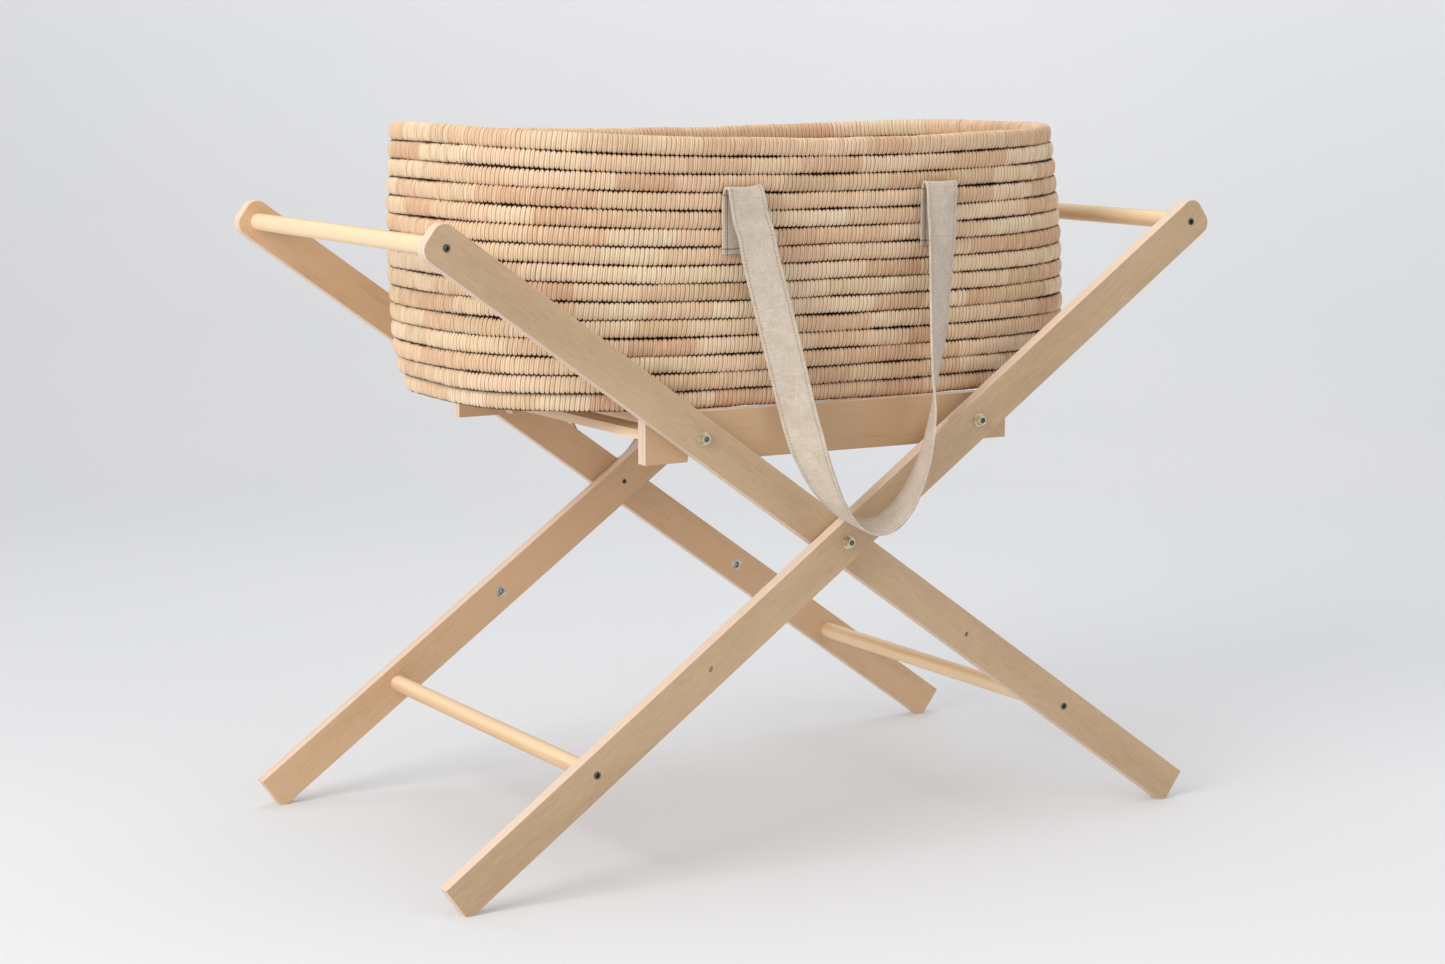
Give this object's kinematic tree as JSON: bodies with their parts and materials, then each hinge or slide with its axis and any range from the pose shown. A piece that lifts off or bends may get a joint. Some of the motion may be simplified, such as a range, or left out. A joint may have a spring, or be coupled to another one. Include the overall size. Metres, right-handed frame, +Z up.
{
  "type": "bassinet on stand",
  "caption": "Coiled palm-leaf bassinet basket with two carry straps, standing on a tray in a folding cross-leg plywood stand joined by dowels.",
  "frame": {"origin": "on the floor, under the middle of the stand", "axes": "+X along the basket, +Y from the near side to the far side, +Z up"},
  "size_m": [0.908, 0.5932, 0.7438],
  "materials": {
    "plywood": "matt oiled birch plywood, warm tan",
    "pine": "sanded pale pine dowel",
    "palm_leaf": "dry palm leaf wrapped in coils, matt",
    "linen_webbing": "woven linen webbing, beige grey",
    "zinc_steel": "zinc-plated steel",
    "zinc_insert": "bright zinc-plated steel",
    "dark_screw": "dark burnished steel",
    "nylon": "natural nylon"
  },
  "bodies": {
    "frame_a": {"leg_a_near": "plywood", "leg_a_far": "plywood", "dowel_a_upper": "pine", "dowel_a_lower": "pine", "dowel_screws_a": "dark_screw", "pivot_studs": "zinc_steel", "pivot_spacers": "zinc_steel", "pivot_washers": "zinc_steel", "pivot_nuts": "zinc_steel", "support_pins_a": "zinc_steel", "pin_washers_a": "zinc_steel", "pin_nuts_a": "zinc_steel", "pin_sleeve_a": "nylon", "threaded_inserts_a": "zinc_insert"},
    "frame_b": {"leg_b_near": "plywood", "leg_b_far": "plywood", "dowel_b_upper": "pine", "dowel_b_lower": "pine", "dowel_screws_b": "dark_screw", "support_pins_b": "zinc_steel", "pin_washers_b": "zinc_steel", "pin_nuts_b": "zinc_steel", "pin_sleeve_b": "nylon", "threaded_inserts_b": "zinc_insert"},
    "tray": {"tray_rail_near": "plywood", "tray_rail_far": "plywood", "tray_slat_left_end": "plywood", "tray_slat_left_inner": "plywood", "tray_slat_right_inner": "plywood", "tray_slat_right_end": "plywood"},
    "basket": {"basket_base": "palm_leaf", "basket_wall": "palm_leaf", "basket_rim": "palm_leaf", "strap_near": "linen_webbing", "strap_far": "linen_webbing", "strap_ends_near": "linen_webbing", "strap_ends_far": "linen_webbing"}
  },
  "joints": [
    {"name": "fold", "type": "hinge", "parent": "frame_a", "child": "frame_b", "pos_m": [0, 0, 0.32619], "axis": [0, 1, 0], "range_deg": [0, 62]},
    {"name": "tray_lift", "type": "slide", "parent": "frame_a", "child": "tray", "axis": [0, 0, 1], "range_m": [0, 0.56]},
    {"name": "basket_lift", "type": "slide", "parent": "tray", "child": "basket", "axis": [0, 0, 1], "range_m": [0, 0.35]}
  ],
  "couplings": [
    {"joint": "tray_lift", "follows": "fold", "m_per_rad": 0.5}
  ]
}
